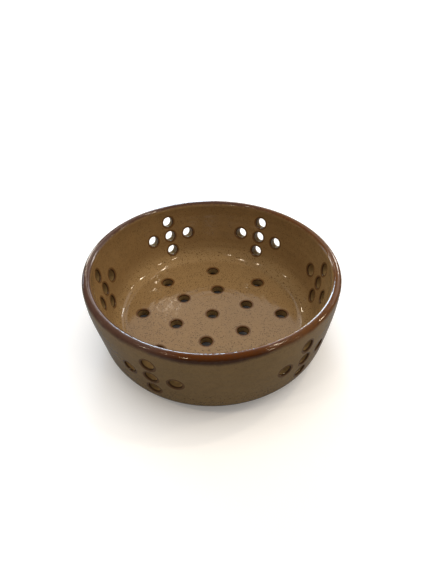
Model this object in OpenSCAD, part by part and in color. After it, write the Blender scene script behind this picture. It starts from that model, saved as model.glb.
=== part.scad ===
// Berry colander bowl: one thrown stoneware body and the coats of glaze fired on to it.
// Millimetres, +Z up, with the origin on the table under the middle of the foot.
// The outline is drawn once, as the finished glazed surface, and the clay lies one glaze
// thickness inside it, so that every coat meets the clay face to face. The holes are cut
// through clay and coats alike, and each is then lined with glaze.

/* [Bowl] */
// Diameter over the outside of the lip
rim_d = 170; // [160:1:190]
// Height from the table to the top of the lip
bowl_h = 59; // [56:1:68]
// Outside diameter where the wall turns under
belly_d = 161; // [158:1:164]
// Height of that turn's upper end
belly_h = 17; // [14:1:20]
// Lean of the outside from upright just above the turn, in degrees
wall_lean = 9; // [4:1:13]
// Thickness of the lip
lip_t = 6; // [5:0.5:7]
// Thickness of the wall just above the turn
wall_t = 8.8; // [7:0.1:10]
// Thickness of the floor with its glaze
floor_t = 6.6; // [5.5:0.1:8]
// Size of the inside corner between floor and wall
corner_r = 10; // [7:1:12]

/* [Foot] */
// Clay between the outer ring of floor holes and the foot ring
foot_gap = 3; // [2.5:0.5:5]
// Width of the foot ring
foot_w = 6.5; // [5:0.5:7]
// Height of the foot ring on its outside
foot_h = 3.6; // [3:0.1:5]
// Depth of the hollow inside the foot ring
recess_h = 5.6; // [4.5:0.1:6.5]
// Rounding of the foot ring's edges
foot_round = 1.2; // [0.6:0.1:1.8]
// Bare clay left between the foot ring and the glaze
bare_gap = 2; // [1:0.5:2.5]

/* [Glaze] */
// Thickness of the coats of glaze
glaze_t = 0.6; // [0.4:0.05:0.8]
// How far the iron glaze runs down the outside, below the rounding of the lip
band_out = 3; // [1.5:0.5:6]
// How far the iron glaze runs down the inside, below the rounding of the lip
band_in = 1.5; // [1:0.5:4]

/* [Holes] */
// Diameter of a glazed hole
hole_d = 7.8; // [6.4:0.2:8.4]
// Thickness of a hole's glaze lining
lining_t = 0.9; // [0.8:0.1:1.1]
// Width of the easing round a hole's mouths
mouth_ease = 0.6; // [0.3:0.1:0.7]
// Diameter of the inner ring of floor holes
inner_ring_d = 55.4; // [46:0.2:62]
// Number of holes in the inner ring
inner_ring_n = 6; // [4:1:8]
// Turn of the inner ring, in degrees
inner_ring_turn = 22; // [0:1:59]
// Diameter of the outer ring of floor holes
outer_ring_d = 101.4; // [90:0.2:102]
// Number of holes in the outer ring
outer_ring_n = 8; // [6:1:12]
// Number of clusters of five holes round the wall
cluster_n = 6; // [3:1:7]
// Drop from the top of the lip to a cluster's middle hole on the outside
cluster_drop = 26.2; // [24:0.2:28]
// Step from the middle hole to the holes on either side, round the outside
step_round = 15.3; // [13:0.1:18]
// Step from the middle hole to the holes above and below
step_up = 12.7; // [11:0.1:13]
// How far the wall holes slope down to the outside, in degrees
hole_tilt = 18.5; // [10:0.5:20]

/* [Hidden] */
$fn = 96;

// The holes were cut by hand: each cluster's drift round the wall, as a share of the pitch
cluster_drift_shares = [0.09, 0.01, -0.04, 0, 0.09, 0.2];

rim_r = rim_d / 2;
belly_r = belly_d / 2;
hole_r = hole_d / 2;
// The hole in the clay, before it is lined with glaze
clay_hole_r = hole_r + lining_t;
// The foot ring stands clear of the outer ring of holes
recess_r = outer_ring_d / 2 + clay_hole_r + foot_gap;
foot_r = recess_r + foot_w;
floor_z = recess_h + floor_t;
// Both sides of the wall meet the round of the lip at this height
lip_z = bowl_h - lip_t / 2;
// The inside wall meets the inside corner here
corner_z = floor_z + corner_r;
corner_top_r = belly_r - wall_t;
band_out_z = lip_z - band_out;
band_in_z = lip_z - band_in;
glaze_line_r = foot_r + bare_gap;
base_glaze_r = recess_r - bare_gap;

// Steps in each stretch of the outline and in the foot's edges
turn_steps = 8;
wall_steps = 8;
band_steps = 2;
lip_steps = 10;
corner_steps = 6;
edge_steps = 4;
// Rounds in which the length of a slanting hole is found
guess_tries = 3;
// How far the ends of the two turning curves are pulled along their tangents
turn_pull_share = 0.66;
corner_pull_share = 0.5;
// Cutting tools run past what they cut by this much
overrun = lip_t;
// Turn of the side holes' seams in the linings, in degrees
lining_seam = 90;

clay_colour = "burlywood";
glaze_colour = "peru";
iron_colour = "saddlebrown";

// A cubic curve through four control points
function curve(p, steps) = [
    for (i = [0 : steps])
        let (t = i / steps, s = 1 - t)
        s * s * s * p[0] + 3 * s * s * t * p[1] + 3 * s * t * t * p[2] + t * t * t * p[3]
];

// Radius at height z between two ends, each given as height, radius and slope
function blend(z, low, high) =
    let (h = high[0] - low[0], t = (z - low[0]) / h)
    (2 * t * t * t - 3 * t * t + 1) * low[1] + (t * t * t - 2 * t * t + t) * h * low[2]
    + (3 * t * t - 2 * t * t * t) * high[1] + (t * t * t - t * t) * h * high[2];

// Outside and inside radius of the finished wall at height z
inside_slope = (rim_r - lip_t - corner_top_r) / (lip_z - corner_z);
function outside_r(z) = blend(z, [belly_h, belly_r, tan(wall_lean)], [lip_z, rim_r, 0]);
function inside_r(z) =
    blend(z, [corner_z, corner_top_r, inside_slope], [lip_z, rim_r - lip_t, 0]);

function outside_wall(from_z, to_z, steps) = [
    for (i = [1 : steps]) let (z = from_z + (to_z - from_z) * i / steps) [outside_r(z), z]
];
function inside_wall(from_z, to_z, steps) = [
    for (i = [1 : steps]) let (z = from_z + (to_z - from_z) * i / steps) [inside_r(z), z]
];

// The finished surface as one line, from the edge of the glaze beside the foot, up the
// outside, over the lip, down the inside, and along the floor to the middle
turn_line = curve([
    [glaze_line_r, foot_h],
    [glaze_line_r + (belly_r - glaze_line_r) * turn_pull_share, foot_h],
    [belly_r - (belly_h - foot_h) * turn_pull_share * tan(wall_lean),
     belly_h - (belly_h - foot_h) * turn_pull_share],
    [belly_r, belly_h]
], turn_steps);
lip_line = [
    for (i = [1 : lip_steps])
        let (a = 180 * i / lip_steps)
        [rim_r - lip_t / 2 + lip_t / 2 * cos(a), lip_z + lip_t / 2 * sin(a)]
];
corner_line = curve([
    [corner_top_r, corner_z],
    [corner_top_r - corner_r * corner_pull_share * inside_slope,
     corner_z - corner_r * corner_pull_share],
    [corner_top_r - corner_r * (1 - corner_pull_share), floor_z],
    [corner_top_r - corner_r, floor_z]
], corner_steps);

outside_line = concat(turn_line, outside_wall(belly_h, band_out_z, wall_steps));
rim_line = concat(
    outside_wall(band_out_z, lip_z, band_steps),
    lip_line,
    inside_wall(lip_z, band_in_z, band_steps)
);
inside_line = concat(
    inside_wall(band_in_z, corner_z, wall_steps),
    [for (i = [1 : corner_steps]) corner_line[i]],
    [[0, floor_z]]
);
skin = concat(outside_line, rim_line, inside_line);
// The points of the skin where the iron glaze and the inside glaze start
rim_start = len(outside_line) - 1;
inside_start = rim_start + len(rim_line);

// The same line on the clay, one glaze thickness below the skin, which is level at its ends
function heading(i) =
    i == 0 ? [1, 0]
    : i == len(skin) - 1 ? [-1, 0]
    : (skin[i + 1] - skin[i - 1]) / norm(skin[i + 1] - skin[i - 1]);
clay_skin = [
    for (i = [0 : len(skin) - 1]) skin[i] + glaze_t * [-heading(i)[1], heading(i)[0]]
];

// The bare clay underneath: hollow, foot ring with rounded edges, and the clay beside it
base_z = recess_h + glaze_t;
function foot_edge(r, from) = [
    for (i = [0 : edge_steps])
        let (a = from + 90 * i / edge_steps)
        [r + foot_round * cos(a), foot_round + foot_round * sin(a)]
];
foot_line = concat(
    [[recess_r, base_z]],
    foot_edge(recess_r + foot_round, 180),
    foot_edge(foot_r - foot_round, 270),
    [[foot_r, foot_h + glaze_t]]
);

// The coat between two points of the skin
module coat(first, last) {
    rotate_extrude()
        polygon(concat(
            [for (i = [first : last]) skin[i]],
            [for (i = [last : -1 : first]) clay_skin[i]]
        ));
}

// The clay and its coats together, without holes
module glazed_blank() {
    rotate_extrude()
        polygon(concat(
            [[0, recess_h], [base_glaze_r, recess_h], [base_glaze_r, base_z]],
            foot_line,
            [clay_skin[0]],
            skin
        ));
}

// How far in front of the bowl's middle the wall is, at a radius and so far to one side
function wall_ahead(r, aside) = sqrt(r * r - aside * aside);
// Length of a wall hole, found again from a first guess. Its outside mouth is at height z,
// turned so far from the middle of its cluster
function hole_length(z, turn, guess, tries) =
    tries == 0 ? guess
    : hole_length(
        z,
        turn,
        (outside_r(z) * cos(turn)
         - wall_ahead(inside_r(z + guess * sin(hole_tilt)), outside_r(z) * sin(turn)))
        / cos(hole_tilt),
        tries - 1
    );
// Lean of the wall from upright, measured across a hole's mouth
function outside_lean(z) =
    atan((outside_r(z + clay_hole_r) - outside_r(z - clay_hole_r)) / clay_hole_r / 2);
function inside_lean(z) =
    atan((inside_r(z + clay_hole_r) - inside_r(z - clay_hole_r)) / clay_hole_r / 2);

// Steps along the wall from the middle of a cluster to its five holes: round, and up
cluster_steps = [[0, 0], [1, 0], [-1, 0], [0, 1], [0, -1]];
cluster_h = bowl_h - cluster_drop;
function cluster_turn(i) =
    360 * (i + cluster_drift_shares[i % len(cluster_drift_shares)]) / cluster_n;
function hole_z(s) = cluster_h + s[1] * step_up * cos(hole_tilt);
// Turn of a hole's outside mouth from the middle of its cluster
function side_turn(s) = s[0] * 360 * step_round / (2 * PI * outside_r(cluster_h));

// Bores for all the wall holes. The five of a cluster are cut side by side, all one way.
// The seam turns the two side holes about their own middles, which moves no surface, to
// keep the line where each round face starts clear of the easing at the mouths
module wall_bores(r, seam = 0) {
    for (i = [0 : cluster_n - 1], s = cluster_steps)
        rotate(cluster_turn(i) + side_turn(s))
            translate([outside_r(hole_z(s)), 0, hole_z(s)])
                rotate(-side_turn(s))
                    rotate([0, hole_tilt - 90, 0])
                        rotate(seam * abs(s[0]))
                            translate([0, 0, -overrun])
                                cylinder(r = r, h = wall_t + 2 * overrun);
}

// What easing a mouth takes away, facing +Z with the surface at its origin
module mouth_tool() {
    translate([0, 0, -mouth_ease])
        cylinder(r1 = hole_r, r2 = hole_r + 2 * mouth_ease, h = 2 * mouth_ease);
}

// The easings of all the wall holes' mouths, outside and inside
module wall_mouths() {
    for (i = [0 : cluster_n - 1], s = cluster_steps) {
        z = hole_z(s);
        turn = side_turn(s);
        inner_z = z + hole_length(z, turn, wall_t, guess_tries) * sin(hole_tilt);
        inner_turn = asin(outside_r(z) * sin(turn) / inside_r(inner_z));
        rotate(cluster_turn(i) + turn)
            translate([outside_r(z), 0, z]) rotate([0, 90 + outside_lean(z), 0]) mouth_tool();
        rotate(cluster_turn(i) + inner_turn)
            translate([inside_r(inner_z), 0, inner_z])
                rotate([0, inside_lean(inner_z) - 90, 0]) mouth_tool();
    }
}

// Stands its children on the floor's hollow at every floor hole
module at_floor_holes() {
    translate([0, 0, recess_h]) {
        children();
        for (i = [0 : inner_ring_n - 1])
            rotate(inner_ring_turn + 360 * i / inner_ring_n)
                translate([inner_ring_d / 2, 0, 0]) children();
        for (i = [0 : outer_ring_n - 1])
            rotate(360 * i / outer_ring_n) translate([outer_ring_d / 2, 0, 0]) children();
    }
}

module floor_bores(r) {
    at_floor_holes() translate([0, 0, -overrun]) cylinder(r = r, h = floor_t + 2 * overrun);
}

// The clay with its foot ring, and all 45 holes before lining
module clay_body() {
    color(clay_colour)
        difference() {
            rotate_extrude() polygon(concat([[0, base_z]], foot_line, clay_skin));
            wall_bores(clay_hole_r);
            floor_bores(clay_hole_r);
        }
}

// The coat on the inside wall and the floor
module inside_glaze() {
    color(glaze_colour)
        difference() {
            coat(inside_start, len(skin) - 1);
            wall_bores(clay_hole_r);
            floor_bores(clay_hole_r);
        }
}

// The coat on the outside wall, down to the bare clay by the foot
module outside_glaze() {
    color(glaze_colour)
        difference() {
            coat(0, rim_start);
            wall_bores(clay_hole_r);
        }
}

// The iron glaze over the lip
module rim_glaze() {
    color(iron_colour)
        difference() {
            coat(rim_start, inside_start);
            wall_bores(clay_hole_r);
        }
}

// The coat in the hollow inside the foot ring
module base_glaze() {
    color(glaze_colour)
        difference() {
            translate([0, 0, recess_h]) cylinder(r = base_glaze_r, h = glaze_t);
            floor_bores(clay_hole_r);
        }
}

// The linings of the wall holes, eased at both mouths
module wall_hole_glaze() {
    color(glaze_colour)
        difference() {
            intersection() {
                glazed_blank();
                wall_bores(clay_hole_r, lining_seam);
            }
            wall_bores(hole_r, lining_seam);
            wall_mouths();
        }
}

// The linings of the floor holes, eased at both mouths
module floor_hole_glaze() {
    color(glaze_colour)
        difference() {
            at_floor_holes() cylinder(r = clay_hole_r, h = floor_t);
            floor_bores(hole_r);
            at_floor_holes() {
                translate([0, 0, floor_t]) mouth_tool();
                mirror([0, 0, 1]) mouth_tool();
            }
        }
}

clay_body();
inside_glaze();
outside_glaze();
rim_glaze();
base_glaze();
wall_hole_glaze();
floor_hole_glaze();
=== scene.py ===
import bisect
import math

import bmesh
import bpy
import numpy as np
from mathutils import Matrix, Vector


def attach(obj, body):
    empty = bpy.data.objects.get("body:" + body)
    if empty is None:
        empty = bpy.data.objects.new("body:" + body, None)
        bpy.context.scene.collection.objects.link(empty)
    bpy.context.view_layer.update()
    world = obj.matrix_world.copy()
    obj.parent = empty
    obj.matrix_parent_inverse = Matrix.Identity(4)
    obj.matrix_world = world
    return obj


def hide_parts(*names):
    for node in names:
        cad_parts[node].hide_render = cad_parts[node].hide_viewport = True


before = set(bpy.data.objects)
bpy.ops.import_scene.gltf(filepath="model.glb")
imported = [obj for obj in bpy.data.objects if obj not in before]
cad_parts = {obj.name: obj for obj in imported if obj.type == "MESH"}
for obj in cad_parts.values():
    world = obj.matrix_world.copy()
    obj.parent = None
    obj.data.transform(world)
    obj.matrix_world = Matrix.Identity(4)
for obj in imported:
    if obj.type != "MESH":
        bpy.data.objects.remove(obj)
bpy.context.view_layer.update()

# Camera
# The photograph is taken from close by and well above the rim, looking down into the
# bowl, with the picture held upright.
IMAGE_HIGH_PX = 577
FOCAL_PX = 433
SENSOR_HIGH_MM = 36
NEAREST_SEEN = 0.01
CAMERA_DISTANCE = 0.3028
CAMERA_ELEVATION = math.radians(40.2)
CAMERA_ROLL = math.radians(0.19)
AIM = Vector((0.003, 0, 0.0358))

lens = bpy.data.cameras.new("camera")
lens.sensor_fit = "VERTICAL"
lens.sensor_height = SENSOR_HIGH_MM
lens.lens = SENSOR_HIGH_MM * FOCAL_PX / IMAGE_HIGH_PX
lens.clip_start = NEAREST_SEEN
camera = bpy.data.objects.new("camera", lens)
towards_camera = Vector((0, -math.cos(CAMERA_ELEVATION), math.sin(CAMERA_ELEVATION)))
camera.matrix_world = (
    Matrix.Translation(AIM + CAMERA_DISTANCE * towards_camera)
    @ Matrix.Rotation(math.pi / 2 - CAMERA_ELEVATION, 4, "X")
    @ Matrix.Rotation(CAMERA_ROLL, 4, "Z")
)
bpy.context.scene.collection.objects.link(camera)
bpy.context.scene.camera = camera

# Stoneware body
# The bowl itself: buff stoneware thrown on the wheel, with a turned foot ring. Its holes
# are cut while the clay is leather-hard. Only the foot and a line beside it stay bare.
BOWL_HIGH = 0.059
RIM_R = 0.085
LIP_R = 0.003
LIP_Z = BOWL_HIGH - LIP_R
BELLY_R = 0.0805
BELLY_Z = 0.017
BELLY_SLOPE = math.tan(math.radians(9))
GLAZE_LINE_R = 0.067
FOOT_HIGH = 0.0036
TURN_PULL = 0.66
TURN_STEPS = 18
INSIDE_LIP_R = RIM_R - 2 * LIP_R
CORNER_R = 0.01
CORNER_TOP_R = 0.0717
FLOOR_Z = 0.0122
CORNER_Z = FLOOR_Z + CORNER_R
CORNER_PULL = 0.5
CORNER_STEPS = 14
INSIDE_SLOPE = (INSIDE_LIP_R - CORNER_TOP_R) / (LIP_Z - CORNER_Z)
BASE_Z = 0.0056
BASE_GLAZE_R = 0.0565


def wall_radius(z, low, high):
    """Radius at height z between two ends, each given as height, radius and slope."""
    rise = high[0] - low[0]
    t = (z - low[0]) / rise
    return (
        (2 * t**3 - 3 * t**2 + 1) * low[1]
        + (t**3 - 2 * t**2 + t) * rise * low[2]
        + (3 * t**2 - 2 * t**3) * high[1]
        + (t**3 - t**2) * rise * high[2]
    )


def wall_line(low, high, start, stop, step):
    """Points up or down one side of the wall, a step or less apart."""
    count = max(1, round(abs(stop - start) / step))
    heights = [start + (stop - start) * i / count for i in range(count + 1)]
    return [Vector((wall_radius(z, low, high), 0, z)) for z in heights]


def turned_line(a, b, c, d, count):
    """Points along the curve where the wall turns into the foot or the floor."""
    shares = [i / count for i in range(count + 1)]
    return [
        (1 - t) ** 3 * a + 3 * (1 - t) ** 2 * t * b + 3 * (1 - t) * t**2 * c + t**3 * d
        for t in shares
    ]


OUTSIDE_ENDS = ((BELLY_Z, BELLY_R, BELLY_SLOPE), (LIP_Z, RIM_R, 0))
INSIDE_ENDS = ((CORNER_Z, CORNER_TOP_R, INSIDE_SLOPE), (LIP_Z, INSIDE_LIP_R, 0))
turn_line = turned_line(
    Vector((GLAZE_LINE_R, 0, FOOT_HIGH)),
    Vector((GLAZE_LINE_R + (BELLY_R - GLAZE_LINE_R) * TURN_PULL, 0, FOOT_HIGH)),
    Vector((
        BELLY_R - (BELLY_Z - FOOT_HIGH) * TURN_PULL * BELLY_SLOPE,
        0,
        BELLY_Z - (BELLY_Z - FOOT_HIGH) * TURN_PULL,
    )),
    Vector((BELLY_R, 0, BELLY_Z)),
    TURN_STEPS,
)
corner_line = turned_line(
    Vector((CORNER_TOP_R, 0, CORNER_Z)),
    Vector((
        CORNER_TOP_R - CORNER_R * CORNER_PULL * INSIDE_SLOPE,
        0,
        CORNER_Z - CORNER_R * CORNER_PULL,
    )),
    Vector((CORNER_TOP_R - CORNER_R * (1 - CORNER_PULL), 0, FLOOR_Z)),
    Vector((CORNER_TOP_R - CORNER_R, 0, FLOOR_Z)),
    CORNER_STEPS,
)

# How the wheel and the hand left the bowl off true, worked out for any point of it. A pair
# of radii (RS) or heights (ZS) is where a change starts and where it is full, or with STOP
# in its name where it starts to fade and where it is gone.
BELLY_LEAN = 0.001
LEAN_RS = (0.062, 0.074)
LEAN_STOPS_ZS = (0.018, 0.054)
NEAR_LIP_ZS = (0.046, LIP_Z)
LIP_DRAW = 0.00015
LIP_DRAW_EVEN = 0.6
LIP_DRAW_WAVE = 0.5
LIP_DRAW_TURN = 0.8
LIP_DIP = 0.00015
LIP_DIP_TURN = -1.1
TUCK = 0.0014
TUCK_TURN = math.radians(-58)
TUCK_ZS = (0.024, LIP_Z)
TUCK_SHARP = 6
BELLY_DRAW = 0.0006
OUTSIDE_RS = (0.073, 0.0785)
LOW_STOPS_ZS = (0.028, 0.052)
FLOOR_DISH = 0.0007
DISH_R = 0.068
RIDGE_PITCH = 0.0058
WALL_RIDGE_HIGH = 0.000035
WALL_RS = (0.066, 0.07)
WALL_ZS = (0.004, 0.012)
FLOOR_RIDGE_HIGH = 0.00002
ABOVE_FOOT_ZS = (0.007, 0.011)
RIDGES_STOP_RS = (0.052, 0.06)
RIDGES_START_RS = (0.006, 0.012)


def ease(value, low, high):
    """0 at low, 1 at high, and a smooth rise between."""
    t = min(1, max(0, (value - low) / (high - low)))
    return t * t * (3 - 2 * t)


def thrown(point):
    """Where a point of the true outline lies on the bowl as it was thrown and fired."""
    r = math.hypot(point.x, point.y)
    turn = math.atan2(point.y, point.x)
    at_sides = math.cos(turn) ** 2
    lean = BELLY_LEAN * ease(r, *LEAN_RS) * (1 - ease(point.z, *LEAN_STOPS_ZS)) * at_sides
    near_lip = ease(point.z, *NEAR_LIP_ZS)
    wave = math.cos(3 * turn + LIP_DRAW_TURN)
    draw = LIP_DRAW * near_lip * (LIP_DRAW_EVEN + LIP_DRAW_WAVE * wave)
    by_tuck = max(0, math.cos(turn - TUCK_TURN)) ** TUCK_SHARP
    draw += TUCK * ease(point.z, *TUCK_ZS) * by_tuck
    low_outside = ease(r, *OUTSIDE_RS) * (1 - ease(point.z, *LOW_STOPS_ZS))
    draw += BELLY_DRAW * low_outside * at_sides
    dip = LIP_DIP * near_lip * (1 + math.cos(2 * turn + LIP_DIP_TURN)) / 2
    ridge = WALL_RIDGE_HIGH * ease(r, *WALL_RS) * (1 - near_lip) * ease(point.z, *WALL_ZS)
    draw += ridge * (1 + math.sin(2 * math.pi * point.z / RIDGE_PITCH + turn))
    above_foot = ease(point.z, *ABOVE_FOOT_ZS)
    flat = FLOOR_RIDGE_HIGH * (1 - ease(r, *RIDGES_STOP_RS)) * ease(r, *RIDGES_START_RS)
    dip += above_foot * flat * (1 + math.sin(2 * math.pi * r / RIDGE_PITCH + turn))
    dip += above_foot * FLOOR_DISH * (1 - min(1, r / DISH_R) ** 4) ** 2
    inward = Vector((-point.x, -point.y, 0)) / r if r > 0 else Vector()
    return point + draw * inward + Vector((lean, 0, -dip))


SHARP_EDGE = math.radians(40)
MERGED = 1e-6


def finish_mesh(bm, name):
    """Makes a piece of a finished bmesh: the thrown shape, smooth but for its edges."""
    for vert in bm.verts:
        vert.co = thrown(vert.co)
    bm.normal_update()
    for face in bm.faces:
        face.smooth = True
    for edge in bm.edges:
        edge.smooth = len(edge.link_faces) == 2 and edge.calc_face_angle(0) < SHARP_EDGE
    mesh = bpy.data.meshes.new(name)
    bm.to_mesh(mesh)
    bm.free()
    piece = bpy.data.objects.new(name, mesh)
    bpy.context.scene.collection.objects.link(piece)
    return piece


class Wire:
    """One output of a node. Sums on it add Math nodes; node() adds any other node."""

    def __init__(self, tree, socket=None):
        self.tree = tree
        self.socket = socket

    def node(self, kind, settings=None, sockets=None, out=0):
        made = self.tree.nodes.new(kind)
        for name, value in (settings or {}).items():
            setattr(made, name, value)
        for name, value in (sockets or {}).items():
            if isinstance(value, Wire):
                self.tree.links.new(value.socket, made.inputs[name])
            else:
                made.inputs[name].default_value = value
        return Wire(self.tree, made.outputs[out] if made.outputs else None)

    def math(self, operation, *values):
        return self.node("ShaderNodeMath", {"operation": operation}, dict(enumerate(values)))

    def __add__(self, other):
        return self.math("ADD", self, other)

    __radd__ = __add__

    def __sub__(self, other):
        return self.math("SUBTRACT", self, other)

    def __rsub__(self, other):
        return self.math("SUBTRACT", other, self)

    def __mul__(self, other):
        return self.math("MULTIPLY", self, other)

    __rmul__ = __mul__

    def rises(self, low, high):
        """0 below low, 1 above high, and a smooth rise between."""
        return self.node(
            "ShaderNodeMapRange",
            {"interpolation_type": "SMOOTHSTEP"},
            {"Value": self, "From Min": low, "From Max": high},
        )

    def tint(self, under, over):
        """A colour laid over another by this mask."""
        under = under if isinstance(under, Wire) else (*under, 1)
        over = over if isinstance(over, Wire) else (*over, 1)
        return self.node(
            "ShaderNodeMix",
            {"data_type": "RGBA", "blend_type": "MIX"},
            {0: self, 6: under, 7: over},
            out=2,
        )


def new_finish(name):
    """An empty material, a wire into its tree, and its own places as Object coordinates."""
    finish = bpy.data.materials.new(name)
    finish.use_nodes = True
    finish.node_tree.nodes.clear()
    wire = Wire(finish.node_tree)
    return finish, wire, wire.node("ShaderNodeTexCoord", out="Object")


def noise(place, size, detail, roughness=0.5):
    """Cloudy noise whose lumps are about that size, in metres."""
    return place.node(
        "ShaderNodeTexNoise",
        {"noise_dimensions": "3D"},
        {"Vector": place, "Scale": 1 / size, "Detail": detail, "Roughness": roughness},
    )


def surface(wire, colour, roughness, height, bump_depth, mirror=0.5):
    """The shader at the end of a finish, with its bump from a height."""
    normal = wire.node(
        "ShaderNodeBump", None, {"Strength": 1.0, "Distance": bump_depth, "Height": height}
    )
    shader = wire.node(
        "ShaderNodeBsdfPrincipled",
        None,
        {
            "Base Color": colour,
            "Roughness": roughness,
            "Specular IOR Level": mirror,
            "Normal": normal,
        },
    )
    wire.node("ShaderNodeOutputMaterial", None, {"Surface": shader})


CLAY = (0.42, 0.27, 0.16)
CLAY_PALE = (0.52, 0.37, 0.24)
GROG = (0.16, 0.085, 0.045)
PALE_CLOUDS = (0.3, 0.7)
GROG_SPOTS = (0.66, 0.72)
CLAY_SMOOTHEST = 0.62
CLAY_ROUGHER = 0.25
GROG_PROUD = 0.6
CLAY_BUMP = 0.00012

bare_clay, wire, place = new_finish("bare_stoneware")
cloud = noise(place, size=0.012, detail=4).rises(*PALE_CLOUDS)
grain = noise(place, size=0.0007, detail=3)
grog = noise(place, size=0.0011, detail=1).rises(*GROG_SPOTS)
colour = grog.tint(cloud.tint(CLAY, CLAY_PALE), GROG)
roughness = CLAY_SMOOTHEST + CLAY_ROUGHER * grain
surface(wire, colour, roughness, grain + GROG_PROUD * grog, CLAY_BUMP)

bm = bmesh.new()
bm.from_mesh(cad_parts["clay_body"].data)
bmesh.ops.remove_doubles(bm, verts=bm.verts, dist=MERGED)
body = finish_mesh(bm, "stoneware_body")
body.data.materials.clear()
body.data.materials.append(bare_clay)
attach(body, "root")
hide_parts("clay_body")

# Holes
# Six clusters of five round holes slope out through the wall, and fifteen go straight
# down through the floor. They are cut by hand, so the clusters drift a little, and the
# five of a cluster are cut side by side, all one way.
CLUSTER_Z = 0.0328
CLUSTER_TURNS = (5.4, 60.6, 117.6, 180.0, 245.4, 312.0)
CLUSTER_STEPS = ((0, 0), (1, 0), (-1, 0), (0, 1), (0, -1))
STEP_ROUND = 0.0153
STEP_UP = 0.0127
TILT = math.radians(18.5)
INNER_RING_R = 0.0277
INNER_RING_TURN = 22
INNER_RING_HOLES = 6
OUTER_RING_R = 0.0507
OUTER_RING_HOLES = 8
BORE_R = 0.0039
CLAY_BORE_R = 0.0048

wall_bores = []
for cluster_turn in CLUSTER_TURNS:
    facing = Matrix.Rotation(math.radians(cluster_turn), 3, "Z")
    inwards = facing @ Vector((-math.cos(TILT), 0, math.sin(TILT)))
    for along, up in CLUSTER_STEPS:
        z = CLUSTER_Z + up * STEP_UP * math.cos(TILT)
        side_turn = along * STEP_ROUND / wall_radius(CLUSTER_Z, *OUTSIDE_ENDS)
        around = facing @ Matrix.Rotation(side_turn, 3, "Z")
        wall_bores.append((around @ Vector((wall_radius(z, *OUTSIDE_ENDS), 0, z)), inwards))

floor_rings = [(0, 0)]
floor_rings += [
    (INNER_RING_R, INNER_RING_TURN + 360 * i / INNER_RING_HOLES) for i in range(INNER_RING_HOLES)
]
floor_rings += [(OUTER_RING_R, 360 * i / OUTER_RING_HOLES) for i in range(OUTER_RING_HOLES)]
floor_bores = [
    (Matrix.Rotation(math.radians(turn), 3, "Z") @ Vector((r, 0, BASE_Z)), Vector((0, 0, 1)))
    for r, turn in floor_rings
]

# Coats of glaze
# A glossy tan glaze, poured inside and over the outside down to the bare line by the
# foot, with an iron-brown glaze over the lip that bleeds into it. All of it is speckled.
GLAZE_T = 0.0006
AROUND = 240
WALL_ROW = 0.0008
FLOOR_ROW = 0.0013
LIP_STEPS = 16
BAND_OUT_Z = 0.053
BAND_IN_Z = 0.0545

outside_line = turn_line + wall_line(*OUTSIDE_ENDS, BELLY_Z, BAND_OUT_Z, WALL_ROW)[1:]
lip_line = [
    Vector((RIM_R - LIP_R + LIP_R * math.cos(a), 0, LIP_Z + LIP_R * math.sin(a)))
    for a in (math.pi * i / LIP_STEPS for i in range(LIP_STEPS + 1))
]
rim_line = (
    wall_line(*OUTSIDE_ENDS, BAND_OUT_Z, LIP_Z, WALL_ROW)
    + lip_line[1:]
    + wall_line(*INSIDE_ENDS, LIP_Z, BAND_IN_Z, WALL_ROW)[1:]
)
floor_r = corner_line[-1].x
floor_steps = round((floor_r - CLAY_BORE_R) / FLOOR_ROW)
floor_line = [
    Vector((floor_r + (CLAY_BORE_R - floor_r) * i / floor_steps, 0, FLOOR_Z))
    for i in range(1, floor_steps + 1)
]
inside_wall = wall_line(*INSIDE_ENDS, BAND_IN_Z, CORNER_Z, WALL_ROW)
inside_line = inside_wall + corner_line[1:] + floor_line
base_steps = round((BASE_GLAZE_R - CLAY_BORE_R) / FLOOR_ROW)
base_line = [
    Vector((CLAY_BORE_R + (BASE_GLAZE_R - CLAY_BORE_R) * i / base_steps, 0, BASE_Z))
    for i in range(base_steps + 1)
]

outside_rise = sorted((point.z, point.x) for point in outside_line)
inside_rise = sorted((point.z, point.x) for point in inside_wall + corner_line[1:])


def radius_on(rise, z):
    """Radius at height z along a wall's line, straight between its points."""
    i = min(max(bisect.bisect(rise, (z, 0)), 1), len(rise) - 1)
    (low_z, low_r), (high_z, high_r) = rise[i - 1], rise[i]
    return low_r + (high_r - low_r) * (z - low_z) / (high_z - low_z)


def above_outside(point):
    """Height of a point over the outside of the glaze."""
    return math.hypot(point.x, point.y) - radius_on(outside_rise, point.z)


def above_inside(point):
    """Height of a point over the inside wall of the glaze."""
    return radius_on(inside_rise, point.z) - math.hypot(point.x, point.y)


def above_floor(point):
    """Height of a point over the floor of the bowl."""
    return point.z - FLOOR_Z


def below_base(point):
    """Depth of a point under the glaze in the hollow of the foot."""
    return BASE_Z - point.z


SLIDE_STEP = 0.0001
SLIDE_TRIES = 8
CLOSE_ENOUGH = 1e-8


def slide(point, direction, above):
    """The point moved along a direction until it lies on a surface."""
    for _ in range(SLIDE_TRIES):
        here = above(point)
        if abs(here) < CLOSE_ENOUGH:
            break
        slope = (above(point + SLIDE_STEP * direction) - here) / SLIDE_STEP
        point = point - here / slope * direction
    return point


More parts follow.
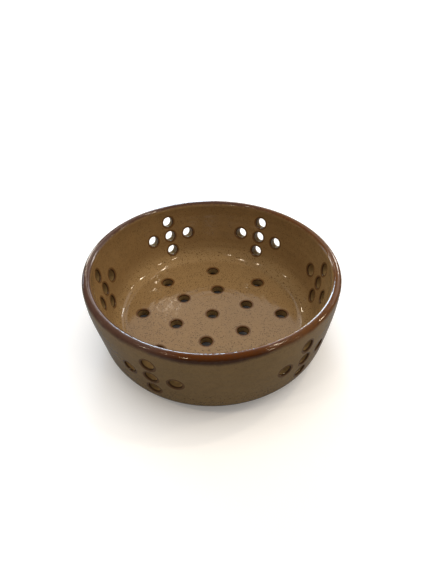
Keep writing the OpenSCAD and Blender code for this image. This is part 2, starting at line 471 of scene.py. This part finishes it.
def spin_coat(line):
    """The skin of a coat: its line spun round the bowl's middle, facing out of the glaze."""
    bm = bmesh.new()
    verts = [bm.verts.new(point) for point in line]
    edges = [bm.edges.new(pair) for pair in zip(verts, verts[1:])]
    bmesh.ops.spin(
        bm, geom=verts + edges, cent=(0, 0, 0), axis=(0, 0, 1), dvec=(0, 0, 0),
        angle=2 * math.pi, steps=AROUND, use_merge=True, use_normal_flip=False,
        use_duplicate=False,
    )
    bmesh.ops.remove_doubles(bm, verts=bm.verts, dist=MERGED)
    bmesh.ops.recalc_face_normals(bm, faces=bm.faces)
    start, heading = line[0], line[1] - line[0]
    first = min(bm.faces, key=lambda face: (face.calc_center_median() - start).length)
    if first.normal.dot(Vector((heading.z, 0, -heading.x))) < 0:
        bmesh.ops.reverse_faces(bm, faces=bm.faces)
    return bm


NEAR_SIDE = 0.025
EVEN_ROWS = 3
EVEN_TIMES = 6
EVEN_FACTOR = 0.5
MOUTH_FADE = 0.003


def gaps_to(bore, points):
    """How far points are from the edge of a bore in the clay, and 1 on the far wall."""
    away = points - np.array(bore[0])
    gaps = np.linalg.norm(np.cross(away, np.array(bore[1])), axis=1) - CLAY_BORE_R
    return np.where(np.abs(away[:, :2]).max(axis=1) < NEAR_SIDE, gaps, 1)


def round_off(bm, bore, edge_verts, above):
    """Draws the edge of an opening into a true circle and evens the mesh beside it."""
    u = bore[1].orthogonal().normalized()
    v = bore[1].cross(u)
    turns = {
        vert: math.atan2((vert.co - bore[0]).dot(v), (vert.co - bore[0]).dot(u))
        for vert in edge_verts
    }
    ring = sorted(edge_verts, key=turns.get)
    pitch = 2 * math.pi / len(ring)
    start = sum(turns[vert] - i * pitch for i, vert in enumerate(ring)) / len(ring)
    for i, vert in enumerate(ring):
        a = start + i * pitch
        along = (vert.co - bore[0]).dot(bore[1]) * bore[1]
        on_bore = bore[0] + along + CLAY_BORE_R * (math.cos(a) * u + math.sin(a) * v)
        vert.co = slide(on_bore, bore[1], above)
    near = set(ring)
    for _ in range(EVEN_ROWS):
        near |= {edge.other_vert(vert) for vert in near for edge in vert.link_edges}
    near = [vert for vert in near if vert not in edge_verts and not vert.is_boundary]
    for _ in range(EVEN_TIMES):
        bmesh.ops.smooth_vert(
            bm, verts=near, factor=EVEN_FACTOR,
            use_axis_x=True, use_axis_y=True, use_axis_z=True,
        )
    for vert in near:
        outward = Vector((vert.co.x, vert.co.y, 0)).normalized()
        level = above in (above_floor, below_base)
        vert.co = slide(vert.co, Vector((0, 0, 1)) if level else outward, above)


def open_bores(bm, bores, above):
    """Opens a round hole in a coat wherever a bore comes through it."""
    faces = bm.faces[:]
    centres = np.array([face.calc_center_median() for face in faces])
    holes = [
        {faces[i] for i in np.nonzero(gaps_to(bore, centres) < 0)[0]} for bore in bores
    ]
    for bore, cut in zip(bores, holes):
        edge_verts = {
            vert for face in cut for vert in face.verts
            if any(near not in cut for near in vert.link_faces)
        }
        bmesh.ops.delete(bm, geom=list(cut), context="FACES")
        round_off(bm, bore, edge_verts, above)


def mark_mouths(bm, bores):
    """Keeps on each point how near it is to a hole: 1 on its edge, 0 out on the glaze."""
    mouth = bm.verts.layers.float.new("mouth")
    points = np.array([vert.co for vert in bm.verts])
    gaps = np.min([gaps_to(bore, points) for bore in bores], axis=0)
    for vert, gap in zip(bm.verts, gaps):
        vert[mouth] = max(0, 1 - gap / MOUTH_FADE)


def scaled(colour, share):
    """A colour made paler or deeper."""
    return tuple(share * part for part in colour)


# A SHARE is how strongly a mark is laid over what is under it. A pair is where the mark
# starts and where it is full, or with STOPS where it fades and is gone: of radii (RS),
# heights (ZS) or other distances in metres, of a noise from 0 to 1 (SPOTS), or of the
# nearness to a hole that mark_mouths() and line_bore() keep (MOUTH).
INSIDE_TAN = (0.245, 0.148, 0.06)
OUTSIDE_TAN = (0.238, 0.156, 0.066)
LINING_TAN = (0.2, 0.135, 0.062)
PALER = 1.3
DEEPER = 0.68
OVER_LIP_RS = (0.0808, 0.0824)
BROAD_SPOTS = (0.35, 0.7)
BROAD_SHARE = 0.35
MOTTLE_SPOTS = (0.4, 0.72)
MOTTLE_SHARE = 0.3
FINE_SPOTS = (0.5, 0.7)
FINE_SHARE = 0.25
INSIDE_ZS = (0.0105, 0.0115)
INSIDE_STOPS_RS = (0.0735, 0.076)
FLOOR_TAN = (0.28, 0.18, 0.082)
FLOOR_STOPS_ZS = (0.012, 0.022)
FLOOR_SHARE = 0.7
# Glaze pooled in the cove, and painted light there: the cove is painted paler still towards the
# back and the left.
POOLED_AND_LIT_TAN = (0.38, 0.25, 0.115)
POOL_RS = (0.06, 0.068)
POOL_STOPS_ZS = (0.018, 0.031)
POOL_SHARE = 0.25
LIT_BACK_SHARE = 0.55
LIT_LEFT_SHARE = 0.15
LIT_SIDE = (0, 0.05)
SPECK = (0.048, 0.023, 0.009)
SPECK_SPOTS = (0.58, 0.66)
SPECKED_SPOTS = (0.2, 0.55)
SPECKS_THIN_ZS = (0.014, 0.03)
FLOOR_SPECK_SHARE = 0.85

NOISE_MIDDLE = 0.5
TORN = 0.1
# Painted light: the glaze deeper in each bore is painted paler.
PAINTED_LIGHT_BORE_TAN = (0.26, 0.17, 0.072)
LIT_BORE_MOUTH = (1.5, 1.8)
BROKEN_BROWN = (0.12, 0.056, 0.018)
BROKEN_MOUTH = (0.68, 0.82)
BROKEN_SHARE = 0.9
# Painted shade over each mouth's rounding and into its bore, with the glaze's dark break.
BROKEN_DARK_AND_SHADE = (0.04, 0.02, 0.01)
SHADE_MOUTH = (1.2, 1.3)
SHADE_STOPS_MOUTH = (1.55, 1.7)
SHADE_SHARE = 0.85

IRON_BROWN = (0.095, 0.05, 0.036)
IRON_DARK = (0.05, 0.03, 0.023)
IRON_BROWN_ZS = (0.0538, 0.0575)
RUSSET = (0.135, 0.056, 0.019)
RUSSET_XS = (0.01, 0.06)
RUSSET_DRIFT = 0.02
SIENNA = (0.1, 0.031, 0.0065)
SIENNA_DEEP = (0.045, 0.0135, 0.003)
SIENNA_ZS = (0.0568, 0.0588)
HOT_XS = (-0.035, -0.01)
HOT_STOPS_XS = (0.025, 0.05)
HOT_FRONT = (0, 0.06)
WORN_SPOTS = (0.45, 0.65)
WORN_SHARE = 0.35
IRON_EDGE_ZS = (0.0528, 0.0558)
IRON_EDGE_RS = (0.0788, 0.08)
IRON_EDGE_DRIFT = 0.002
IRON_EDGE_TORN = 0.0006
IRON_INNER_TORN = 0.001
THIN_SIDE = (0, 0.045)
THIN_RIGHT = 0.0022
THIN_LEFT = 0.0021

SMOOTHEST = 0.04
ROUGHER = 0.08
RIPPLED_LIP_ZS = (0.05, 0.056)
FINE_RIPPLE = 0.25
GLAZE_BUMP = 0.00005


def glaze(name, inside_tan, outside_tan, specked, mirror=0.5):
    """The speckled tan glaze, iron brown over the lip, that breaks brown on cut edges, with
    painted shade over the mouths of holes and painted light deeper in their bores and in the
    cove.
    """
    finish, wire, place = new_finish(name)
    x, y, z = (wire.node("ShaderNodeSeparateXYZ", None, {"Vector": place}, out=i) for i in "XYZ")
    level = place.node(
        "ShaderNodeVectorMath", {"operation": "MULTIPLY"}, {0: place, 1: (1, 1, 0)}
    )
    radius = place.node("ShaderNodeVectorMath", {"operation": "LENGTH"}, {0: level}, out="Value")
    mouth = wire.node("ShaderNodeAttribute", {"attribute_name": "mouth"}, out="Fac")
    broad = noise(place, size=0.022, detail=3)
    mottle = noise(place, size=0.0028, detail=3, roughness=0.6)
    fine = noise(place, size=0.0006, detail=2)
    ragged = noise(place, size=0.0018, detail=3)
    drift = noise(place, size=0.009, detail=3)
    tear, sway = ragged - NOISE_MIDDLE, drift - NOISE_MIDDLE

    tan = radius.rises(*OVER_LIP_RS).tint(inside_tan, outside_tan)
    tan = (BROAD_SHARE * broad.rises(*BROAD_SPOTS)).tint(tan, scaled(inside_tan, PALER))
    tan = (MOTTLE_SHARE * mottle.rises(*MOTTLE_SPOTS)).tint(tan, scaled(outside_tan, DEEPER))
    tan = (FINE_SHARE * fine.rises(*FINE_SPOTS)).tint(tan, scaled(inside_tan, PALER))
    inside = z.rises(*INSIDE_ZS) * (1 - radius.rises(*INSIDE_STOPS_RS))
    tan = (FLOOR_SHARE * inside * (1 - z.rises(*FLOOR_STOPS_ZS))).tint(tan, FLOOR_TAN)
    # Pooled glaze in the cove, with painted light laid over it towards the back and the left.
    pool_and_lit_cove = inside * radius.rises(*POOL_RS) * (1 - z.rises(*POOL_STOPS_ZS))
    back, left = y.rises(*LIT_SIDE), (0 - x).rises(*LIT_SIDE)
    pool_and_lit_cove = pool_and_lit_cove * (POOL_SHARE + LIT_BACK_SHARE * back + LIT_LEFT_SHARE * left)
    tan = pool_and_lit_cove.tint(tan, POOLED_AND_LIT_TAN)
    speck = noise(place, size=0.00075, detail=1).rises(*SPECK_SPOTS)
    speck = speck * noise(place, size=0.006, detail=2).rises(*SPECKED_SPOTS)
    low_down = 1 - z.rises(*SPECKS_THIN_ZS)
    tan = (speck * (specked + (FLOOR_SPECK_SHARE - specked) * low_down)).tint(tan, SPECK)

    torn_mouth = mouth + TORN * tear
    # Painted light: deeper in each bore the glaze is painted paler.
    lit_bore = mouth.rises(*LIT_BORE_MOUTH)
    tan = lit_bore.tint(tan, PAINTED_LIGHT_BORE_TAN)
    broken = torn_mouth.rises(*BROKEN_MOUTH) * (1 - lit_bore)
    tan = (BROKEN_SHARE * broken).tint(tan, BROKEN_BROWN)
    # Painted shade: a dark band over each mouth's rounding and the top of its bore, with the
    # glaze's dark break.
    dark = torn_mouth.rises(*SHADE_MOUTH) * (1 - torn_mouth.rises(*SHADE_STOPS_MOUTH))
    tan = (SHADE_SHARE * dark).tint(tan, BROKEN_DARK_AND_SHADE)

    drifting_x = x + RUSSET_DRIFT * sway
    iron = z.rises(*IRON_BROWN_ZS).tint(IRON_DARK, IRON_BROWN)
    iron = drifting_x.rises(*RUSSET_XS).tint(iron, RUSSET)
    hot = drifting_x.rises(*HOT_XS) * (1 - x.rises(*HOT_STOPS_XS)) * (0 - y).rises(*HOT_FRONT)
    iron = hot.tint(iron, z.rises(*SIENNA_ZS).tint(SIENNA_DEEP, SIENNA))
    worn = WORN_SHARE * ragged.rises(*WORN_SPOTS)
    iron = worn.tint(iron, scaled(IRON_BROWN, DEEPER))
    thin = THIN_RIGHT * x.rises(*THIN_SIDE) + THIN_LEFT * (0 - x).rises(*THIN_SIDE)
    edge_z = z - thin + IRON_EDGE_DRIFT * sway + IRON_EDGE_TORN * tear
    edge_r = radius + IRON_INNER_TORN * tear
    colour = (edge_z.rises(*IRON_EDGE_ZS) * edge_r.rises(*IRON_EDGE_RS)).tint(tan, iron)

    ripple = noise(place, size=0.003, detail=2) * (1 + z.rises(*RIPPLED_LIP_ZS))
    ripple = ripple + FINE_RIPPLE * noise(place, size=0.0008, detail=2)
    surface(wire, colour, SMOOTHEST + ROUGHER * mottle, ripple, GLAZE_BUMP, mirror)
    return finish


inside_finish = glaze("inside_tan_glaze", INSIDE_TAN, INSIDE_TAN, specked=0.4)
outside_finish = glaze("outside_tan_glaze", OUTSIDE_TAN, OUTSIDE_TAN, specked=0.15)
rim_finish = glaze("iron_lip_glaze", INSIDE_TAN, OUTSIDE_TAN, specked=0.3)
lining_finish = glaze("lining_glaze", LINING_TAN, LINING_TAN, specked=0.2, mirror=0.22)

# The lines of the floor's two coats start or end at the middle hole, so it is open already
coats = (
    ("inside_coat", "inside_glaze", "inside_glaze", inside_line, inside_finish),
    ("outside_coat", "outside_glaze", "outside_glaze", outside_line, outside_finish),
    ("rim_coat", "rim_glaze", "iron_glaze", rim_line, rim_finish),
    ("base_coat", "base_glaze", "base_glaze", base_line, outside_finish),
)
for name, node, finish_slot, line, finish in coats:
    bm = spin_coat(line)
    if name == "inside_coat":
        open_bores(bm, wall_bores, above_inside)
        open_bores(bm, floor_bores[1:], above_floor)
    elif name == "outside_coat":
        open_bores(bm, wall_bores, above_outside)
    elif name == "base_coat":
        open_bores(bm, floor_bores[1:], below_base)
    bmesh.ops.solidify(bm, geom=bm.faces[:], thickness=GLAZE_T)
    mark_mouths(bm, wall_bores + floor_bores)
    coat = finish_mesh(bm, name)
    coat.data.materials.append(finish)
    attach(coat, "root")
    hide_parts(node)

# Linings of the holes
# The glaze runs through every hole and rounds over its two mouths, where it thins and breaks
# brown on the cut edge of the clay. Over each mouth and into its bore the colour carries
# painted shade, and deeper down painted light.
LINING_SIDES = 48
MOUTH_ROUND = 0.00085
MOUTH_STEPS = 5
# Rings deep in each bore, where the painted shade has faded and the painted light is full.
SHADE_FADE_DEPTHS = (0.0016, 0.0026)


def line_bore(bm, mouth, bore, above_start, above_end):
    """One closed sleeve of glaze, with a rounded mouth on the surface at each end. Its mark
    goes on from 1 at the edge of the clay's hole with the way in and down the bore."""
    shape = [(CLAY_BORE_R, 0), (BORE_R + MOUTH_ROUND, 0)]
    for i in range(1, MOUTH_STEPS + 1):
        a = math.pi / 2 * i / MOUTH_STEPS
        in_radius = BORE_R + MOUTH_ROUND * (1 - math.sin(a))
        shape.append((in_radius, MOUTH_ROUND * (1 - math.cos(a))))
    shape += [(BORE_R, depth) for depth in SHADE_FADE_DEPTHS]
    rings = [(radius, depth, above_start) for radius, depth in shape]
    rings += [(radius, -depth, above_end) for radius, depth in reversed(shape)]
    turn = bore[1].to_track_quat("Z", "Y").to_matrix().to_4x4()
    made = bmesh.ops.create_circle(
        bm, cap_ends=False, segments=LINING_SIDES, radius=CLAY_BORE_R,
        matrix=Matrix.Translation(bore[0]) @ turn,
    )["verts"]
    ring_edges = list({edge for vert in made for edge in vert.link_edges})
    first_edges = ring_edges
    for count, (radius, depth, above) in enumerate(rings):
        if count:
            grown = bmesh.ops.extrude_edge_only(bm, edges=ring_edges)["geom"]
            made = [part for part in grown if isinstance(part, bmesh.types.BMVert)]
            ring_edges = [part for part in grown if isinstance(part, bmesh.types.BMEdge)]
        for vert in made:
            from_mouth = vert.co - bore[0]
            along = from_mouth.dot(bore[1]) * bore[1]
            on_bore = bore[0] + along + radius * (from_mouth - along).normalized()
            vert.co = slide(on_bore, bore[1], above) + depth * bore[1]
            vert[mouth] = 1 + (CLAY_BORE_R - radius + abs(depth)) / MOUTH_FADE
    bmesh.ops.bridge_loops(bm, edges=first_edges + ring_edges)


linings = (
    ("wall_linings", "wall_hole_glaze", "wall_lining", wall_bores, above_outside, above_inside),
    ("floor_linings", "floor_hole_glaze", "floor_lining", floor_bores, below_base, above_floor),
)
for name, node, finish_slot, bores, above_start, above_end in linings:
    bm = bmesh.new()
    mouth = bm.verts.layers.float.new("mouth")
    for bore in bores:
        line_bore(bm, mouth, bore, above_start, above_end)
    bmesh.ops.recalc_face_normals(bm, faces=bm.faces)
    lining = finish_mesh(bm, name)
    lining.data.materials.append(lining_finish)
    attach(lining, "root")
    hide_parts(node)

# Table top and light
# A plain white table top in a plain room: a broad soft light overhead, pale windows behind
# the bowl, and small warm ceiling lamps that glint on the glaze.
TABLE_SIZE = 6
TABLE_WHITE = 0.85
TABLE_GLOW = 0.35
# Painted shadow: the table's glow is turned down under the bowl and close around it.
GLOW_IN_PAINTED_SHADOW = 0.02
OUT_OF_PAINTED_SHADOW = (0.05, 0.11)
TABLE_FAR_GLOW = 0.7
FAR_AWAY = (0.4, 1.6)
TABLE_BOUNCE = 0.4
TABLE_MIRRORED = 0.25

bm = bmesh.new()
bmesh.ops.create_grid(bm, x_segments=1, y_segments=1, size=TABLE_SIZE / 2)
mesh = bpy.data.meshes.new("table_top")
bm.to_mesh(mesh)
bm.free()
table_top = bpy.data.objects.new("table_top", mesh)
bpy.context.scene.collection.objects.link(table_top)

table_finish, wire, place = new_finish("table_white")
seen = wire.node("ShaderNodeLightPath", out="Is Camera Ray")
white = wire.node("ShaderNodeBsdfDiffuse", None, {"Color": (*[TABLE_WHITE] * 3, 1)})
away = place.node("ShaderNodeVectorMath", {"operation": "LENGTH"}, {0: place}, out="Value")
# Painted shadow: the glow is low under the bowl and rises away from it.
glow_here = GLOW_IN_PAINTED_SHADOW + (TABLE_GLOW - GLOW_IN_PAINTED_SHADOW) * away.rises(*OUT_OF_PAINTED_SHADOW)
glow_here = glow_here + TABLE_FAR_GLOW * away.rises(*FAR_AWAY)
glow = wire.node("ShaderNodeEmission", None, {"Color": (1, 1, 1, 1), "Strength": glow_here})
mirrored = wire.node("ShaderNodeLightPath", out="Is Glossy Ray")
plain = mirrored.tint([TABLE_BOUNCE] * 3, [TABLE_MIRRORED] * 3)
grey = wire.node("ShaderNodeBsdfDiffuse", None, {"Color": plain})
lit = wire.node("ShaderNodeAddShader", None, {0: white, 1: glow})
shader = wire.node("ShaderNodeMixShader", None, {0: seen, 1: grey, 2: lit})
wire.node("ShaderNodeOutputMaterial", None, {"Surface": shader})
mesh.materials.append(table_finish)

# The room as the world: white to the camera and softly lit, but dark in the glaze's
# reflections apart from a pale ceiling behind the bowl and a pale wall behind on the right.
# The pairs are parts of a direction of length 1, x to the right, y to the back, z up.
ROOM_WHITE = (1, 0.97, 0.96, 1)
SKY_SOFT = 0.265
SKY_SEEN = 1
GLOSS_FRONT = 0.03
GLOSS_BACK = 0.9
BACK_YS = (-0.1, 0.45)
BACK_STOPS_LEFT = (0.18, 0.3)
BACK_STOPS_RIGHT = (0.17, 0.3)
BACK_ZS = (0.62, 0.66)
BACK_STOPS_ZS = (0.72, 0.88)
GLOSS_SIDE = 0.95
SIDE_XS = (0.18, 0.3)
SIDE_YS = (0.3, 0.5)
SIDE_ZS = (0.2, 0.3)
SIDE_STOPS_ZS = (0.6, 0.67)

world = bpy.data.worlds.new("room")
world.use_nodes = True
world.node_tree.nodes.clear()
wire = Wire(world.node_tree)
heading = wire.node("ShaderNodeTexCoord", out="Generated")
x, y, z = (wire.node("ShaderNodeSeparateXYZ", None, {"Vector": heading}, out=i) for i in "XYZ")
seen = wire.node("ShaderNodeLightPath", out="Is Camera Ray")
mirrored = wire.node("ShaderNodeLightPath", out="Is Glossy Ray")
behind = y.rises(*BACK_YS)
behind = behind * (1 - (0 - x).rises(*BACK_STOPS_LEFT)) * (1 - x.rises(*BACK_STOPS_RIGHT))
gloss = GLOSS_FRONT + GLOSS_BACK * behind * z.rises(*BACK_ZS) * (1 - z.rises(*BACK_STOPS_ZS))
beside = y.rises(*SIDE_YS) * x.rises(*SIDE_XS) * z.rises(*SIDE_ZS) * (1 - z.rises(*SIDE_STOPS_ZS))
gloss = gloss + GLOSS_SIDE * beside
strength = SKY_SOFT + mirrored * (gloss - SKY_SOFT) + seen * (SKY_SEEN - SKY_SOFT)
room = wire.node("ShaderNodeBackground", None, {"Color": ROOM_WHITE, "Strength": strength})
wire.node("ShaderNodeOutputWorld", None, {"Surface": room})
bpy.context.scene.world = world

BOWL_MIDDLE = Vector((0, 0, 0.03))
LAMP_AWAY = 1.6


def hang_lamp(name, azimuth, elevation, wide, high, light, colour):
    """A flat lamp that faces the bowl: its bearing and size in degrees, and how much light
    it brings, where pi lights a white surface that faces it fully."""
    turn, climb = math.radians(azimuth), math.radians(elevation)
    heading = Vector(
        (math.cos(turn) * math.cos(climb), math.sin(turn) * math.cos(climb), math.sin(climb))
    )
    lamp = bpy.data.lights.new(name, "AREA")
    lamp.shape = "RECTANGLE"
    lamp.size = 2 * LAMP_AWAY * math.tan(math.radians(wide) / 2)
    lamp.size_y = 2 * LAMP_AWAY * math.tan(math.radians(high) / 2)
    lamp.energy = light * math.pi * LAMP_AWAY**2
    lamp.color = colour
    hung = bpy.data.objects.new(name, lamp)
    hung.matrix_world = Matrix.Translation(BOWL_MIDDLE + LAMP_AWAY * heading) @ (
        heading.to_track_quat("Z", "Y").to_matrix().to_4x4()
    )
    bpy.context.scene.collection.objects.link(hung)
    return hung


# Each lamp's bearing and height over the table, its width and height, all in degrees, and
# its light. Soft lamps aren't seen in the glaze, and glints are seen only there.
WARM = (1, 0.84, 0.62)
WARM_WHITE = (1, 0.93, 0.84)
COOL = (0.66, 0.82, 1)
LILAC = (1, 0.93, 0.97)
SOFT_LAMPS = (
    ("overhead", 60, 80, 50, 50, 1.4, WARM_WHITE),
    ("side_light", 0, 45, 35, 35, 0.3, WARM_WHITE),
    ("window_spill", 115, 17, 48, 24, 1.5, COOL),
)
WINDOWS = (
    ("cool_window", 97.4, 14, 12.2, 20, 1.08, COOL),
    ("high_window", 103, 37, 11, 4, 0.045, WARM_WHITE),
    ("lilac_window", 84, 20, 12, 18, 0.2, LILAC),
)
GLINTS = (
    ("left_glint", 55, 24, 6, 12, 0.32, WARM_WHITE),
    ("right_glint", 126, 17, 9, 9, 0.32, WARM_WHITE),
    ("cool_glint", 143, 9, 9, 5, 0.1, COOL),
)
CEILING_LAMPS = (
    (176, 25, 2.2, 2.2, 0.07),
    (-159, 51, 2.2, 2.2, 0.2),
    (-141, 61, 2.2, 2.2, 0.17),
    (29, 66, 2.2, 2.2, 0.3),
    (10, 32, 2.2, 2.2, 0.24),
    (-41, 31, 2.2, 2.2, 0.17),
    (123, 33, 2.2, 2.2, 0.07),
    (-111, 42, 2.2, 2.2, 0.12),
    (-4, 61, 1.6, 1.6, 0.1),
    (8, 27, 1, 1, 0.03),
    (21, 24, 1, 1, 0.03),
    (-22, 27, 1, 1, 0.03),
    (99, 41, 0.9, 0.3, 0.003),
    (88, 53, 0.5, 0.6, 0.004),
)
for lamp in SOFT_LAMPS:
    hang_lamp(*lamp).visible_glossy = False
for lamp in WINDOWS:
    hang_lamp(*lamp)
for lamp in GLINTS:
    hang_lamp(*lamp).visible_diffuse = False
for i, lamp in enumerate(CEILING_LAMPS):
    hang_lamp(f"ceiling_lamp_{i}", *lamp, WARM)

view = bpy.context.scene.view_settings
view.view_transform = "Standard"
